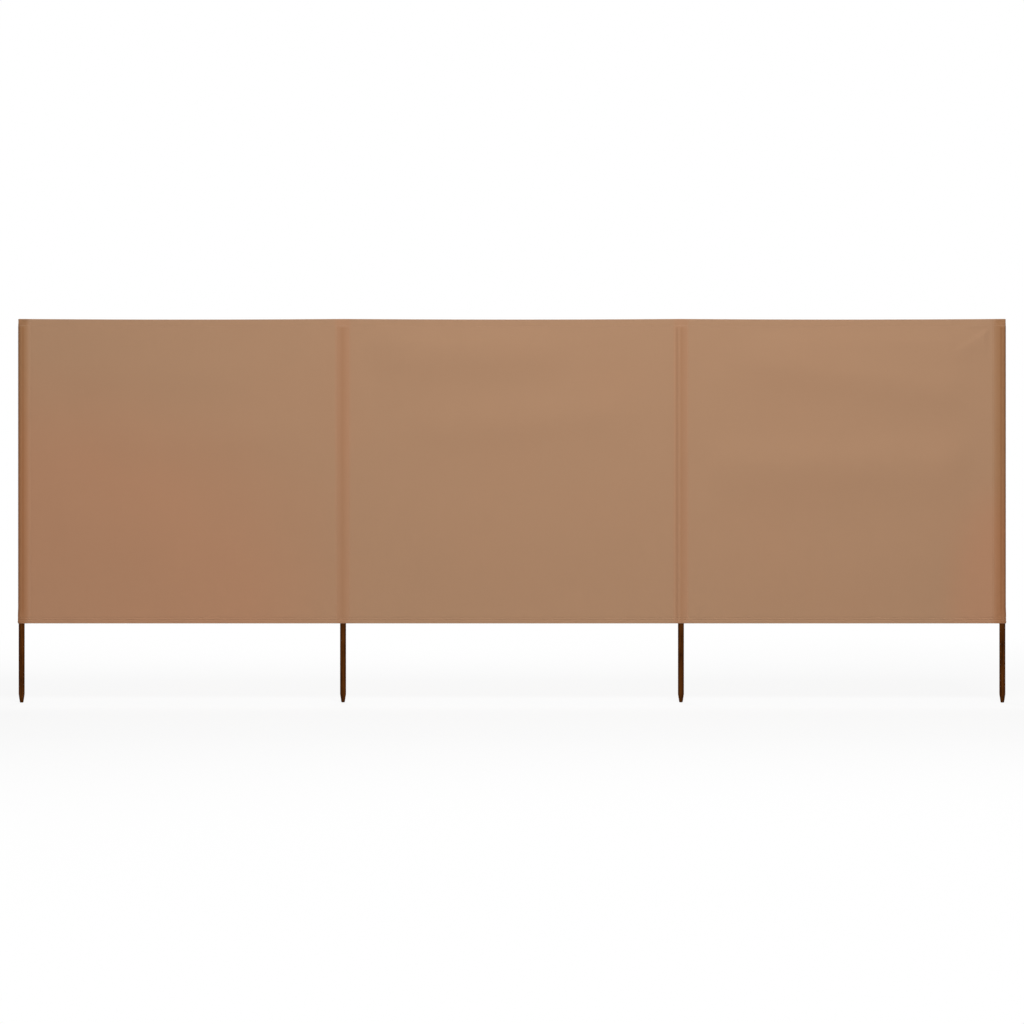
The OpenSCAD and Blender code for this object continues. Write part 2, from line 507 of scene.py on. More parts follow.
def rise(zone, value):
    """0 before a zone, 1 after it, and a smooth rise in it."""
    low, high = zone
    share = np.clip((value - low) / (high - low), 0.0, 1.0)
    return share * share * (3.0 - 2.0 * share)


def fall(zone, value):
    """1 before a zone, 0 after it, and a smooth fall in it."""
    return 1 - rise(zone, value)


def bell(distance, reach):
    """1 at no distance, falling away smoothly over the reach."""
    return np.exp(-((distance / reach) ** 2))


def tent(offset, left, right):
    """Cloth drawn over an edge: 1 at a rounded crest, falling straight to both sides."""
    reach = np.where(offset < 0, left, right) - TENT_ROUNDING
    drop = (np.sqrt(offset ** 2 + TENT_ROUNDING ** 2) - TENT_ROUNDING) / reach
    share = np.clip(1 - drop, 0.0, 1.0)
    return TENT_SOFTNESS * share * share * (2 - share) + (1 - TENT_SOFTNESS) * share


def tents(x, table):
    """Sum of tents, each given by its crest, its reach to both sides and its height."""
    return sum(height * tent(x - crest, left, right) for crest, left, right, height in table)


def ripples(place, waves):
    """Sum of fixed waves along one direction."""
    return sum(share * np.sin(2 * math.pi * (rate * place + phase)) for rate, phase, share in waves)


def ridge(x, z, x0, z0, x1, z1, above, below, height):
    """Height of a ridge between two places, which fades at both ends."""
    length = math.hypot(x1 - x0, z1 - z0)
    ux, uz = (x1 - x0) / length, (z1 - z0) / length
    run = (x - x0) * ux + (z - z0) * uz
    off = (z - z0) * ux - (x - x0) * uz
    fade = (0.0, min(RIDGE_FADE_SHARE * length, RIDGE_FADE))
    ends = rise(fade, run) * rise(fade, length - run)
    return height * bell(off, np.where(off > 0, above, below)) * ends


def along(path, count):
    """Points at even distances along a path, with count steps between its ends."""
    steps = np.linalg.norm(np.diff(path, axis=0), axis=1)
    run = np.concatenate([[0.0], np.cumsum(steps)])
    places = np.linspace(0.0, run[-1], count + 1)
    return np.column_stack([np.interp(places, run, path[:, axis]) for axis in (0, 1)])


def stations(pieces, counts):
    """Stations along a plan made of pieces, with its corners softened as cloth bends."""
    dense = [along(piece, count * FINER)[:-1] for piece, count in zip(pieces, counts)]
    dense.append(pieces[-1][-1:])
    path = np.vstack(dense)
    reach = 3 * SOFT_SAMPLES
    kernel = bell(np.arange(-reach, reach + 1), SOFT_SAMPLES * math.sqrt(2.0))
    kernel /= kernel.sum()
    padded = np.pad(path, ((reach, reach), (0, 0)), mode="reflect", reflect_type="odd")
    soft = np.column_stack([np.convolve(padded[:, axis], kernel, "valid") for axis in (0, 1)])
    return soft[::FINER]


def ladder(breaks, step):
    """Places through all the breaks, with even steps no longer than step between them."""
    places = [breaks[0]]
    for start, end in zip(breaks[:-1], breaks[1:]):
        count = max(1, math.ceil(abs(end - start) / step - STEP_ROUNDING))
        places.extend(np.linspace(start, end, count + 1)[1:])
    return np.array(places)


def graded(start, end, fine):
    """Places from start to end, close together near both ends and wide apart between them."""
    half = (end - start) / 2
    sizes = []
    step = fine
    while sum(sizes) + step < half:
        sizes.append(step)
        step = min(step * STEP_GROWTH, COARSE_STEP)
    reach = np.concatenate([[0.0], np.cumsum(sizes)])
    reach *= half / reach[-1]
    return np.concatenate([start + reach, (end - reach[::-1])[1:]])


def mirrored(path):
    """A plan mirrored about the middle of the windbreak, still running to the right."""
    other = path[::-1].copy()
    other[:, 0] = 2 * MIDDLE_X - other[:, 0]
    return other


def middle_way(points, axis):
    """Directions through the points along one axis of a grid, halfway between both neighbours."""
    step = np.diff(points, axis=axis)
    step /= np.linalg.norm(step, axis=-1, keepdims=True)
    first = np.take(step, [0], axis=axis)
    last = np.take(step, [-1], axis=axis)
    way = np.concatenate([first, step], axis=axis) + np.concatenate([step, last], axis=axis)
    return way / np.linalg.norm(way, axis=-1, keepdims=True)


def touch_angle(seam, radius, side):
    """Angle at which cloth drawn from a seam first touches a round of this radius."""
    return math.atan2(seam[1], seam[0]) + side * math.acos(radius / math.hypot(*seam))


def arc(radius, start, end):
    """Points on a round about the origin between two angles."""
    angles = np.linspace(start, end, ARC_POINTS)
    return radius * np.column_stack([np.cos(angles), np.sin(angles)])


def level(start, end, y):
    """Straight stretch of a plan at one depth."""
    return np.array([[start, y], [end, y]])


@dataclass
class Sheet:
    """Middle surface of a cloth: rows run up it and columns along it."""

    points: np.ndarray
    normals: np.ndarray
    place: np.ndarray
    masks: dict

    def columns(self, first, last):
        """The part of the sheet between two columns, both kept."""
        part = slice(first, last + 1)
        masks = {name: mask[:, part] for name, mask in self.masks.items()}
        return Sheet(self.points[:, part], self.normals[:, part], self.place[:, part], masks)

    def mirrored(self):
        """The same sheet on the other side of the windbreak, still running to the right."""
        points = self.points[:, ::-1] * (-1, 1, 1) + (2 * MIDDLE_X, 0, 0)
        masks = {name: mask[:, ::-1] for name, mask in self.masks.items()}
        return Sheet(points, self.normals[:, ::-1] * (-1, 1, 1), self.place, masks)

    def flat_size(self):
        """Length and height of the sheet laid flat."""
        size = self.place[-1, -1] - self.place[0, 0]
        return float(size[0]), float(size[1])

    def nearest(self, x, after=0):
        """Column that is nearest to a place along the windbreak, from a column on."""
        middle_row = self.points[len(self.points) // 2, after:, 0]
        return after + int(np.argmin(np.abs(middle_row - x)))

    def sewn(self, rows, columns, lift):
        """Sewn row on the face that the lift leads to: its points and the way that they face."""
        normals = self.normals[rows, columns]
        return self.points[rows, columns] + normals * lift, normals * np.sign(lift)


def make_sheet(plan, heights, depths, shift, sag, masks):
    """Sheet from a plan for each row, moved inwards by each row's depth and the shift."""
    way = middle_way(plan, 1)
    inward = np.stack([-way[..., 1], way[..., 0]], axis=-1)
    flat = plan + inward * (depths[:, None] + shift)[..., None]
    points = np.concatenate([flat, (heights[:, None] - sag)[..., None]], axis=-1)
    normals = np.cross(middle_way(points, 1), middle_way(points, 0))
    normals /= np.linalg.norm(normals, axis=-1, keepdims=True)
    column_steps = np.linalg.norm(np.diff(plan[len(plan) // 2], axis=0), axis=1)
    row_steps = np.hypot(np.diff(heights), np.diff(depths))
    place = np.empty(plan.shape)
    place[..., 0] = np.concatenate([[0.0], np.cumsum(column_steps)])[None, :]
    place[..., 1] = np.concatenate([[0.0], np.cumsum(row_steps)])[:, None]
    return Sheet(points, normals, place, masks)


def hem_fold(edge, gap, outward):
    """Heights and depths round a folded edge, from the turned layer to the front one."""
    heights = edge + outward * gap / 2 * np.sin(HEM_FOLD_ANGLES)
    depths = gap / 2 + gap / 2 * np.cos(HEM_FOLD_ANGLES)
    return heights, depths


def cloth_rows(cloth):
    """Heights and depths of the rows up the cloth, and how far a sewn row pulls them inwards."""
    gap = cloth.layer_gap
    room = (cloth.thickness + gap) / 2
    low_fold = CLOTH_LOW + room
    top_fold = CLOTH_TOP - room
    low_hem = ladder([low_fold, HEM_BREAK, *BOTTOM_ROWS, BOTTOM_HEM_TOP], HEM_STEP)
    top_hem = ladder([TOP_HEM_LOW, TOP_ROW, top_fold], TOP_HEM_STEP)
    between = graded(low_hem[-1], top_hem[0], ROW_STEP)[1:-1]
    low_z, low_d = hem_fold(low_fold, gap, -1)
    top_z, top_d = hem_fold(top_fold, gap, 1)
    front = np.concatenate([low_hem, between, top_hem])
    # A sewn row pulls the front inwards, and the turned layers a little towards it
    stretches = (
        (low_hem[::-1], gap, TURNED_PULL), (low_z, low_d, 0.0), (front, 0.0, 1.0),
        (top_z, top_d[::-1], 0.0), (top_hem[::-1], gap, TURNED_PULL),
    )
    heights = np.concatenate([z for z, _, _ in stretches])
    depths = np.concatenate([np.broadcast_to(depth, z.shape) for z, depth, _ in stretches])
    pull = np.concatenate([np.full(z.shape, share) for z, _, share in stretches])
    return heights, depths, pull


def sleeve_plan(radius, flange_y, flat=False):
    """Plan of an end sleeve: sewn edge, round its pole or flat above it, and on to the panel."""
    panel_y = PANEL_Y - LEFT_END[1]
    back_seam = np.array([SLEEVE_ROOT, flange_y])
    front_seam = np.array([SLEEVE_ROOT, panel_y])
    if flat:
        half = (flange_y - panel_y) / 2
        bend = arc(half, math.pi / 2, 1.5 * math.pi) + (half - radius, panel_y + half)
    else:
        start = touch_angle(back_seam, radius, 1)
        bend = arc(radius, start, touch_angle(front_seam, radius, -1) + 2 * math.pi)
    pieces = [
        level(SLEEVE_EDGE, SLEEVE_ROOT, flange_y), np.vstack([back_seam, bend, front_seam]),
        level(SLEEVE_ROOT, SLEEVE_ZONE, panel_y),
    ]
    return stations(pieces, SLEEVE_COUNTS) + LEFT_END


def strip_plan(radius, flange_y, flat=False):
    """Plan of a pocket strip: a sewn edge, over its pole or flat above it, and a sewn edge."""
    seam = np.array([POCKET_REACH, flange_y])
    bend = np.empty((0, 2))
    if not flat:
        end = touch_angle(seam, radius, 1)
        bend = arc(radius, math.pi - end, end)
    pieces = [
        level(-POCKET_EDGE, -POCKET_REACH, flange_y), np.vstack([seam * (-1, 1), bend, seam]),
        level(POCKET_REACH, POCKET_EDGE, flange_y),
    ]
    return stations(pieces, STRIP_COUNTS) + LEFT_INNER


def plans_up(plan, wrap, flare, on_panel, on_hem):
    """Plans at the mouth, which is wider, along the pole, at its top and flat above it."""
    return (
        plan(wrap + flare, on_hem), plan(wrap, on_panel), plan(wrap, on_hem),
        plan(wrap, on_hem, flat=True),
    )


def cloth_plans(cloth):
    """Plans of the whole cloth at the bottom hem, along the poles, at their tops and above them."""
    on_panel = PANEL_Y - LEFT_END[1] + cloth.thickness + cloth.slack
    on_hems = on_panel + 2 * cloth.layer_gap
    ends = plans_up(sleeve_plan, POLE_R + SLEEVE_ROOM, SLEEVE_FLARE, on_panel, on_hems)
    half_zone = np.array([0.0, POLE_R, POCKET_REACH, POCKET_ROW, POCKET_EDGE, POCKET_ZONE])
    panel = graded(LEFT_END[0] + SLEEVE_ZONE, LEFT_X - POCKET_ZONE, FINE_STEP)
    pocket = ladder(LEFT_X + np.concatenate([-half_zone[:0:-1], half_zone]), FINE_STEP)
    middle = graded(LEFT_X + POCKET_ZONE, RIGHT_X - POCKET_ZONE, FINE_STEP)
    side_x = np.concatenate([panel[1:], pocket[1:]])
    side_panel = np.column_stack([side_x, np.full(len(side_x), PANEL_Y)])
    centre = np.column_stack([middle[1:-1], np.full(len(middle) - 2, PANEL_Y)])
    plans = []
    for end in ends:
        side = np.vstack([end, side_panel])
        plans.append(np.vstack([side, centre, mirrored(side)]))
    return np.array(plans), len(ends[0])


def plan_at(heights, plans):
    """Plan at each height, from those at the mouth, along the pole, at its top and above it."""
    mouth = fall(MOUTH_END, heights)
    shoulder = rise(SHOULDER, heights)
    closed = rise(CLOSING, heights)
    shares = np.stack([mouth, 1 - mouth - shoulder, shoulder - closed, closed], axis=1)
    return np.einsum("rt,tck->rck", shares, plans)


def nearest_of(x, places):
    """Distance along the windbreak to the nearest of some places."""
    return np.min(np.abs(x[..., None] - places), axis=-1)


def from_end_poles(plan):
    """Distance to the nearer end pole, seen from above."""
    left, right = (np.linalg.norm(plan - axis, axis=-1) for axis in (LEFT_END, RIGHT_END))
    return np.minimum(left, right)


def hem_relief(z, pull):
    """How far the hems move to the back, in groove depths."""
    return pull * sum(share * bell(z - height, reach) for height, reach, share in HEM_RELIEF)


def cloth_shift(cloth, x, z, pull):
    """How far the panels' cloth moves to the back: folds, waves, creases, puckers and sewn rows."""
    near = nearest_of(x, POLE_X)
    above = z - CLOTH_LOW
    below = CLOTH_TOP - z
    loose = EDGE_SHARE + (1 - EDGE_SHARE) * rise(BOTTOM_START, above) * rise(TOP_START, below)
    folds = sum(ridge(x, z, *fold) for fold in SOFT_FOLDS)
    waves = np.zeros_like(x)
    for rate_x, rate_z, phase, share in SLOW_WAVES:
        waves += share * np.sin(2 * math.pi * (rate_x * x + rate_z * z + phase))
    creases = sum(ridge(x, z, *crease) for crease in CREASES)
    hems = bell(above, BOTTOM_PUCKER) + TOP_PUCKER_SHARE * bell(below, TOP_PUCKER)
    forward = rise(FOLD_START, near) * loose * (cloth.fold_height * folds + cloth.wave_height * waves)
    forward += rise(CREASE_START, near) * creases
    forward += cloth.pucker * rise(PUCKER_START, near) * hems * ripples(x, HEM_PUCKERS)
    # The poles push the cloth forward, and the sewn rows beside them pull it back
    forward += fall(POLE_END, z) * tents(x, POLE_TENTS)
    pockets = sum(bell(np.abs(x - axis) - POCKET_ROW, GROOVE_REACH) for axis in INNER_X)
    return cloth.groove * (POCKET_GROOVE * pockets + hem_relief(z, pull)) - forward


def sleeve_shift(cloth, plan, z, pull):
    """How far the sleeves' cloth moves inwards: puckers between pole and seam, and sewn rows."""
    away = from_end_poles(plan)
    up = z + np.where(plan[..., 0] < MIDDLE_X, 0.0, RIGHT_SHIFT)
    web = rise(SLEEVE_WEB[0], away) * fall(SLEEVE_WEB[1], away)
    sewn = SLEEVE_GROOVE * bell(away - SLEEVE_ROW, GROOVE_REACH) + hem_relief(z, pull)
    return cloth.groove * sewn - cloth.pucker * web * ripples(up, SLEEVE_PUCKERS)


def top_sag(cloth, x, z):
    """How far the cloth hangs down between the poles, most at the top edge."""
    sag = np.zeros_like(x)
    for start, end in zip(POLE_X[:-1], POLE_X[1:]):
        share = np.clip((x - start) / (end - start), 0.0, 1.0)
        sag += 4 * share * (1 - share)
    return cloth.top_sag * sag * rise(SAG_ZONE, z)


def layer_masks(plan, z, in_sleeve):
    """Painted shade of layers and poles behind, and of sewn rows, and where the cloth is redder."""
    x = plan[..., 0]
    beside = fall(SHADE_END, z)
    away = from_end_poles(plan)
    off = nearest_of(x, INNER_X)
    in_fold = in_sleeve & (away < SLEEVE_EDGE + FOLD_MARGIN)
    sleeve_layer_shade = np.zeros(x.shape)
    sleeve_pole_shade = np.zeros(x.shape)
    # Painted shade down each sleeve from its doubled layers and its pole, with a painted highlight down
    # the pole's middle
    for axis_x, fading, left_over, pole_share in SLEEVE_SHADES:
        from_axis = np.abs(x - axis_x)
        on_side = from_axis < 2 * SLEEVE_EDGE
        sleeve_layer_shade += on_side * (left_over + (1 - left_over) * fall(fading, away))
        crest = CREST_HIGHLIGHT + (1 - CREST_HIGHLIGHT) * rise(CREST_HIGHLIGHT_SIDE, from_axis)
        sleeve_pole_shade += on_side * pole_share * crest * fall(ROUND_POLE, away)
    # Painted shade in the sewn rows, and in a crease beside the right inner pole
    sewn = [share * bell(z - height, reach) for height, reach, share in HEM_SEAM_SHADES]
    sewn.append(SLEEVE_TINT * bell(away - SLEEVE_ROW, TINT_REACH) * in_sleeve)
    sewn.append(POCKET_TINT * bell(off - POCKET_ROW, TINT_REACH))
    sewn.append(POLE_CREASE_SHADE * bell(x - POLE_CREASE_X, POLE_CREASE_REACH) * beside)
    warm = [POCKET_WARMTH * fall(WARM_SIDE, off)]
    for middle_x, middle_z, reach_x, reach_z in WARM_PATCHES:
        warm.append(fall(PATCH_EDGE, np.hypot((x - middle_x) / reach_x, (z - middle_z) / reach_z)))
    return {
        "doubled": np.where(in_fold, sleeve_layer_shade, POCKET_DOUBLED * fall(POCKET_SIDE, off)),
        "over_pole": np.where(in_fold, sleeve_pole_shade, tents(x, POLE_SHADES)) * beside,
        "sewn": np.maximum.reduce(sewn),
        "warm": np.maximum.reduce(warm),
    }


def cloth_sheet(cloth):
    """The whole cloth, its rows' heights and depths, and the columns in a sleeve."""
    heights, depths, pull = cloth_rows(cloth)
    plans, sleeve_count = cloth_plans(cloth)
    plan = plan_at(heights, plans)
    x = plan[..., 0]
    z = np.broadcast_to(heights[:, None], x.shape)
    pulls = np.broadcast_to(pull[:, None], x.shape)
    in_sleeve = np.zeros((1, x.shape[1]), bool)
    in_sleeve[:, :sleeve_count] = True
    in_sleeve[:, -sleeve_count:] = True
    shift = np.where(
        in_sleeve, sleeve_shift(cloth, plan, z, pulls), cloth_shift(cloth, x, z, pulls)
    )
    masks = layer_masks(plan, z, in_sleeve)
    sheet = make_sheet(plan, heights, depths, shift, top_sag(cloth, x, z), masks)
    return sheet, heights, depths, sleeve_count


def bay_columns(sheet):
    """First and last column of each bay. The bays meet at the inner sewn edges of the pockets."""
    first = sheet.nearest(LEFT_X + POCKET_EDGE)
    last = sheet.nearest(RIGHT_X - POCKET_EDGE)
    return {"left": (0, first), "middle": (first, last), "right": (last, sheet.points.shape[1] - 1)}


def strip_sheet(cloth):
    """Strip that makes the pocket behind the left inner pole, open below and flat above."""
    gap = cloth.layer_gap
    on_panel = PANEL_Y + cloth.thickness + cloth.slack
    low_fold = CLOTH_LOW + STRIP_RISE + (cloth.thickness + gap) / 2
    hem = ladder([low_fold, low_fold + STRIP_HEM], ROW_STEP)
    front = np.concatenate([
        hem, graded(hem[-1], POLE_TOP, FINE_STEP)[1:],
        ladder([POLE_TOP, CLOTH_TOP - STRIP_DROP], STRIP_TOP_STEP)[1:],
    ])
    fold_z, fold_d = hem_fold(low_fold, gap, -1)
    heights = np.concatenate([hem[::-1], fold_z, front])
    depths = np.concatenate([np.full(len(hem), gap), fold_d, np.zeros(len(front))])
    plans = plans_up(strip_plan, POLE_R + STRIP_ROOM, STRIP_FLARE, on_panel, on_panel + gap)
    plan = plan_at(heights, np.array(plans))
    x = plan[..., 0] - LEFT_X
    z = np.broadcast_to(heights[:, None], x.shape)
    away = np.linalg.norm(plan - LEFT_INNER, axis=-1)
    from_row = np.abs(x) - POCKET_ROW
    web = rise(STRIP_WEB[0], away) * fall(STRIP_WEB[1], np.abs(x))
    shift = cloth.pucker * web * ripples(z + STRIP_SHIFT * np.sign(x), SLEEVE_PUCKERS)
    shift -= POCKET_GROOVE * cloth.groove * bell(from_row, GROOVE_REACH)
    # Painted shade of the layer and pole behind the strip and in its sewn rows, and its redder tone
    masks = {
        "doubled": np.full(x.shape, STRIP_DOUBLED),
        "over_pole": fall(STRIP_POLE, away) * fall(SHADE_END, z),
        "sewn": STRIP_TINT * bell(from_row, TINT_REACH),
        "warm": np.full(x.shape, STRIP_WARMTH),
    }
    sheet = make_sheet(plan, heights, depths, shift, np.zeros(x.shape), masks)
    return sheet, len(hem), len(hem) + len(fold_z)


def new_piece(name, data):
    """Object in the scene for finished data, whose place is in its mesh."""
    piece = bpy.data.objects.new(name, data)
    bpy.context.scene.collection.objects.link(piece)
    return piece


def smooth_piece(name, points, faces, material, sharp):
    """Smooth piece from points and faces, with edges past an angle kept sharp."""
    mesh = bpy.data.meshes.new(name)
    mesh.from_pydata(points, [], faces)
    mesh.materials.append(material)
    mesh.shade_smooth()
    mesh.set_sharp_from_angle(angle=sharp)
    mesh.validate()
    return new_piece(name, mesh)


def sheet_piece(name, sheet, thickness, material):
    """Closed piece of cloth with a front, a back and rims, from its middle surface."""
    rows, columns = sheet.points.shape[:2]
    offset = sheet.normals * thickness / 2
    count = rows * columns
    at = np.arange(count).reshape(rows, columns)
    quads = np.stack([at[:-1, :-1], at[:-1, 1:], at[1:, 1:], at[1:, :-1]], axis=-1).reshape(-1, 4)
    rim = np.concatenate([at[0, ::-1], at[1:, 0], at[-1, 1:], at[-2::-1, -1]])
    following = np.roll(rim, -1)
    rims = np.stack([rim, following, following + count, rim + count], axis=-1)
    faces = np.concatenate([quads, quads[:, ::-1] + count, rims])
    points = np.concatenate([sheet.points + offset, sheet.points - offset]).reshape(-1, 3)
    piece = smooth_piece(name, points, faces.tolist(), material, CLOTH_SHARP)
    mesh = piece.data
    corners = np.empty(len(mesh.loops), np.int32)
    mesh.loops.foreach_get("vertex_index", corners)
    places = np.tile(sheet.place.reshape(-1, 2), (2, 1))
    layer = mesh.uv_layers.new(name="weave")
    layer.uv.foreach_set("vector", places[corners].ravel().astype(np.float32))
    for mask_name, mask in sheet.masks.items():
        values = mesh.attributes.new(mask_name, "FLOAT", "POINT")
        values.data.foreach_set("value", np.tile(mask.ravel(), 2).astype(np.float32))
    return piece


def feed(tree, socket, value):
    """Joins an input to a socket, or sets it to a plain number, colour or other value."""
    if isinstance(value, bpy.types.NodeSocket):
        tree.links.new(value, socket)
    elif socket.type == "RGBA":
        socket.default_value = (*value, 1.0)
    else:
        socket.default_value = value


def set_node(tree, node, **values):
    """Sets settings of a node, and its inputs by their names with _ for a space."""
    for name, value in values.items():
        if hasattr(node, name):
            setattr(node, name, value)
        else:
            feed(tree, node.inputs[name.replace("_", " ")], value)


def add_node(tree, kind, **values):
    """New node in a tree, with its settings and inputs."""
    made = tree.nodes.new(kind)
    set_node(tree, made, **values)
    return made


def math_node(tree, operation, *values):
    """Result of a Math node on sockets or plain numbers."""
    made = add_node(tree, "ShaderNodeMath", operation=operation)
    for socket, value in zip(made.inputs, values):
        feed(tree, socket, value)
    return made.outputs[0]


def weighted(tree, start, *parts, **settings):
    """Start plus the weighted outputs of nodes. The settings go to the last sum."""
    total = start
    for node, label, weight in parts:
        product = math_node(tree, "MULTIPLY", node.outputs[label], weight)
        total = math_node(tree, "ADD", product, total)
    set_node(tree, total.node, **settings)
    return total


def mix_colour(tree, kind, share, first, second):
    """Mix of two colours, given as sockets or plain colours."""
    made = add_node(tree, "ShaderNodeMix", data_type="RGBA", blend_type=kind)
    share_input, first_input, second_input = (made.inputs[slot] for slot in (0, 6, 7))
    feed(tree, share_input, share)
    feed(tree, first_input, first)
    feed(tree, second_input, second)
    return made.outputs[2]


def new_group(name, kind, inputs, outputs):
    """Empty node group with named sockets, its inputs' sockets and its output node."""
    tree = bpy.data.node_groups.new(name, kind)
    for in_out, sockets in (("INPUT", inputs), ("OUTPUT", outputs)):
        for label, socket in sockets.items():
            tree.interface.new_socket(label, in_out=in_out, socket_type="NodeSocket" + socket)
    return tree, tree.nodes.new("NodeGroupInput").outputs, tree.nodes.new("NodeGroupOutput")


def shared_group(name, build):
    """Node group of this name, built on its first use."""
    if name not in bpy.data.node_groups:
        build(name)
    return bpy.data.node_groups[name]


def build_weave(name):
    """Plain weave: threads over and under each other, as a height and a tone."""
    inputs = {"Place": "Vector", "Pitch": "Float"}
    tree, given, result = new_group(
        name, "ShaderNodeTree", inputs, {"Height": "Float", "Tone": "Float"}
    )
    turns = math_node(tree, "DIVIDE", math.pi, given["Pitch"])
    scaled = add_node(
        tree, "ShaderNodeVectorMath", operation="SCALE", Vector=given["Place"], Scale=turns
    )
    parts = add_node(tree, "ShaderNodeSeparateXYZ", Vector=scaled.outputs[0]).outputs
    crossing = math_node(
        tree, "MULTIPLY", math_node(tree, "SINE", parts["X"]), math_node(tree, "SINE", parts["Y"])
    )
    crown = math_node(tree, "POWER", math_node(tree, "ABSOLUTE", crossing), WEAVE_ROUND)
    set_node(tree, result, Height=crown, Tone=crossing)


def build_uneven(name):
    """Unevenness of a finish: broad patches and fine streaks, each about 0 at its middle."""
    inputs = {"Place": "Vector", "Patches a metre": "Float", "Streaks a metre": "Vector"}
    tree, given, result = new_group(
        name, "ShaderNodeTree", inputs, {"Patches": "Float", "Streaks": "Float"}
    )
    patches = add_node(
        tree, "ShaderNodeTexNoise", Detail=2.0, Roughness=0.5,
        Vector=given["Place"], Scale=given["Patches a metre"],
    )
    drawn = add_node(tree, "ShaderNodeVectorMath", operation="MULTIPLY")
    feed(tree, drawn.inputs[0], given["Place"])
    feed(tree, drawn.inputs[1], given["Streaks a metre"])
    streaks = add_node(
        tree, "ShaderNodeTexNoise", Scale=1.0, Detail=3.0, Roughness=0.6, Vector=drawn.outputs[0]
    )
    set_node(
        tree, result, Patches=math_node(tree, "SUBTRACT", patches.outputs["Fac"], 0.5),
        Streaks=math_node(tree, "SUBTRACT", streaks.outputs["Fac"], 0.5),
    )


def uneven_node(tree, place, patches, streaks):
    """The uneven finish placed in a material, with its patches and streaks a metre."""
    return add_node(
        tree, "ShaderNodeGroup", node_tree=shared_group("Uneven finish", build_uneven),
        Place=place, Patches_a_metre=patches, Streaks_a_metre=streaks,
    )


def new_material(name):
    """Material with a Principled shader, its tree, the shader and its Object coordinates."""
    material = bpy.data.materials.new(name)
    material.use_nodes = True
    tree = material.node_tree
    place = tree.nodes.new("ShaderNodeTexCoord").outputs["Object"]
    return material, tree, tree.nodes["Principled BSDF"], place


def add_bump(tree, shader, height, strength, distance):
    """Bump of a height, joined to the shader."""
    bump = add_node(tree, "ShaderNodeBump", Strength=strength, Distance=distance, Height=height)
    tree.links.new(bump.outputs["Normal"], shader.inputs["Normal"])


def cloth_material(name, cloth, streaks, darker):
    """Woven cloth: weave, thread streaks, patches, painted shade of what lies behind and of seams."""
    material, tree, shader, _ = new_material(name)
    place = add_node(tree, "ShaderNodeUVMap", uv_map="weave").outputs["UV"]
    weave = add_node(
        tree, "ShaderNodeGroup", node_tree=shared_group("Plain weave", build_weave),
        Place=place, Pitch=cloth.thread_pitch,
    )
    uneven = uneven_node(tree, place, patches=1.7, streaks=streaks)
    across = (streaks[1], streaks[0], streaks[2])
    cross = uneven_node(tree, place, patches=9.0, streaks=across)
    masks = {
        mask: add_node(tree, "ShaderNodeAttribute", attribute_name=mask).outputs["Fac"]
        for mask in ("warm", "doubled", "over_pole", "sewn")
    }
    warm = weighted(tree, masks["warm"], (uneven, "Patches", 0.6), use_clamp=True)
    colour = mix_colour(tree, "MIX", warm, cloth.colour, cloth.warm_colour)
    tone = weighted(
        tree, 1.0, (weave, "Tone", 0.035), (uneven, "Streaks", 0.035),
        (cross, "Streaks", 0.035), (cross, "Patches", 0.015),
    )
    colour = mix_colour(tree, "MULTIPLY", 1.0, colour, math_node(tree, "MULTIPLY", tone, darker))
    # Painted shade of a second layer and of a pole behind the cloth, and in sewn rows and creases
    colour = mix_colour(tree, "MULTIPLY", masks["doubled"], colour, cloth.layer_shade_tint)
    colour = mix_colour(tree, "MULTIPLY", masks["over_pole"], colour, cloth.pole_shade_tint)
    colour = mix_colour(tree, "MULTIPLY", masks["sewn"], colour, cloth.seam_shade_tint)
    rough = weighted(tree, 1.0, (weave, "Height", -0.10), (cross, "Streaks", 0.10))
    set_node(
        tree, shader, Base_Color=colour, Roughness=math_node(tree, "MULTIPLY", rough, CLOTH_ROUGH),
        Specular_IOR_Level=0.25, Sheen_Weight=0.08, Sheen_Roughness=0.5,
    )
    height = weighted(tree, weave.outputs["Height"], (cross, "Streaks", 0.8))
    add_bump(tree, shader, height, strength=0.3, distance=0.12 * MM)
    return material


def thread_material(colour):
    """Sewing thread: matt polyester, a little uneven along its length."""
    material, tree, shader, place = new_material("sewing_thread")
    uneven = uneven_node(tree, place, patches=60.0, streaks=(900.0, 900.0, 900.0))
    tone = weighted(tree, 1.0, (uneven, "Patches", 0.25), (uneven, "Streaks", 0.5))
    set_node(
        tree, shader, Base_Color=mix_colour(tree, "MULTIPLY", 1.0, colour, tone),
        Roughness=weighted(tree, THREAD_ROUGH, (uneven, "Streaks", 0.2)), Specular_IOR_Level=0.3,
    )
    return material


def pole_material(poles):
    """Stained wood: long dark and light grain, fine pores, and a satin finish worn in patches."""
    material, tree, shader, place = new_material("stained_wood")
    grain = uneven_node(tree, place, patches=14.0, streaks=(260.0, 260.0, 7.0))
    pores = uneven_node(tree, place, patches=55.0, streaks=(1500.0, 1500.0, 60.0))
    share = weighted(
        tree, 0.5, (grain, "Streaks", 2.2), (grain, "Patches", 0.8), (pores, "Streaks", 0.9),
        use_clamp=True,
    )
    rough = weighted(tree, 1.0, (pores, "Streaks", 0.5), (grain, "Patches", 0.5))
    set_node(
        tree, shader, Base_Color=mix_colour(tree, "MIX", share, poles.dark_colour, poles.light_colour),
        Roughness=math_node(tree, "MULTIPLY", rough, WOOD_ROUGH), Specular_IOR_Level=0.03,
    )
    height = math_node(tree, "ADD", grain.outputs["Streaks"], pores.outputs["Streaks"])
    add_bump(tree, shader, height, strength=0.4, distance=0.4 * MM)
    return material


